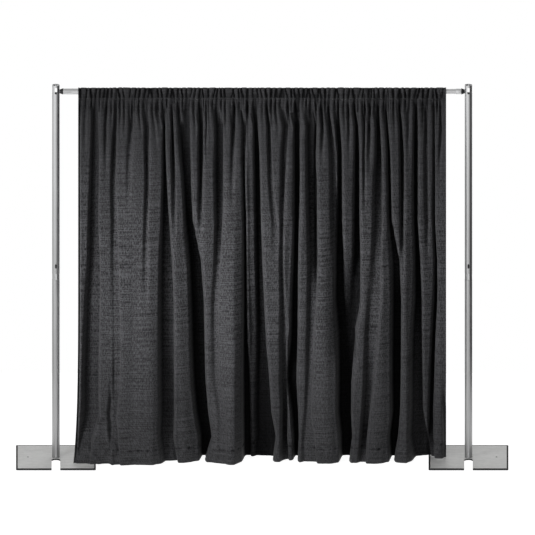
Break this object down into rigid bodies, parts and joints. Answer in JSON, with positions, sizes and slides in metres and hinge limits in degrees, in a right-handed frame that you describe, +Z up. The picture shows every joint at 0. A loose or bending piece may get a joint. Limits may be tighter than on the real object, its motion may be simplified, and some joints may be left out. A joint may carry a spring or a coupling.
{
  "type": "pipe and drape backdrop",
  "caption": "Free-standing backdrop: slotted uprights on flat base plates carry a telescoping crossbar and a black pleated drape hung by its rod pocket.",
  "frame": {"origin": "on the floor, midway between the two uprights, at the centre of the base plates' depth", "axes": "+Z up, +X to the right along the crossbar, the drape's face towards -Y"},
  "size_m": [3.084, 0.5, 2.4505],
  "materials": {
    "base_plate": "silver-grey powder coat",
    "zinc_steel": "zinc plated",
    "aluminium_tube": "satin anodised",
    "dark_steel": "blackened",
    "nylon": "natural nylon",
    "black_plastic": "moulded",
    "black_cloth": "woven polyester with a soft sheen"
  },
  "bodies": {
    "left_base": {"left_base_plate": "base_plate", "left_base_pin": "zinc_steel", "left_pin_bolt": "zinc_steel", "left_pin_washer": "zinc_steel", "left_pin_nut": "zinc_steel"},
    "right_base": {"right_base_plate": "base_plate", "right_base_pin": "zinc_steel", "right_pin_bolt": "zinc_steel", "right_pin_washer": "zinc_steel", "right_pin_nut": "zinc_steel"},
    "left_upright": {"left_lower_tube": "aluminium_tube", "left_coupler": "aluminium_tube", "left_coupler_rivet_1": "zinc_steel", "left_coupler_rivet_2": "zinc_steel", "left_button_spring": "zinc_steel", "left_upper_tube": "aluminium_tube"},
    "right_upright": {"right_lower_tube": "aluminium_tube", "right_coupler": "aluminium_tube", "right_coupler_rivet_1": "zinc_steel", "right_coupler_rivet_2": "zinc_steel", "right_button_spring": "zinc_steel", "right_upper_tube": "aluminium_tube"},
    "left_button": {"left_snap_button": "dark_steel"},
    "right_button": {"right_snap_button": "dark_steel"},
    "crossbar": {"crossbar_outer_tube": "aluminium_tube", "crossbar_guide_bush": "nylon", "left_hook_blade": "zinc_steel", "left_hook_plug": "black_plastic", "left_hook_rivet": "zinc_steel", "drape": "black_cloth"},
    "crossbar_inner": {"crossbar_inner_tube": "aluminium_tube", "crossbar_tail_glide": "nylon", "crossbar_end_ferrule": "aluminium_tube", "right_hook_blade": "zinc_steel", "right_hook_plug": "black_plastic", "right_hook_rivet": "zinc_steel"}
  },
  "joints": [
    {"name": "left_upright_lift", "type": "slide", "parent": "left_base", "child": "left_upright", "axis": [0, 0, 1], "range_m": [0, 0.155]},
    {"name": "right_stand_travel", "type": "slide", "parent": "left_base", "child": "right_base", "axis": [1, 0, 0], "range_m": [-0.85, 0]},
    {"name": "right_upright_lift", "type": "slide", "parent": "right_base", "child": "right_upright", "axis": [0, 0, 1], "range_m": [0, 0.155]},
    {"name": "crossbar_unhook", "type": "slide", "parent": "left_upright", "child": "crossbar", "axis": [0, 0, 1], "range_m": [0, 0.017]},
    {"name": "crossbar_telescope", "type": "slide", "parent": "crossbar", "child": "crossbar_inner", "axis": [1, 0, 0], "range_m": [-0.85, 0], "deforming": ["drape"]},
    {"name": "left_button_press", "type": "slide", "parent": "left_upright", "child": "left_button", "axis": [0, 1, 0], "range_m": [0, 0.0072], "stiffness_N_per_m": 1500, "springref_m": -0.003, "deforming": ["left_button_spring"]},
    {"name": "right_button_press", "type": "slide", "parent": "right_upright", "child": "right_button", "axis": [0, 1, 0], "range_m": [0, 0.0072], "stiffness_N_per_m": 1500, "springref_m": -0.003, "deforming": ["right_button_spring"]}
  ],
  "couplings": [
    {"joint": "right_upright_lift", "follows": "left_upright_lift", "ratio": 1},
    {"joint": "crossbar_telescope", "follows": "right_stand_travel", "ratio": 1}
  ]
}
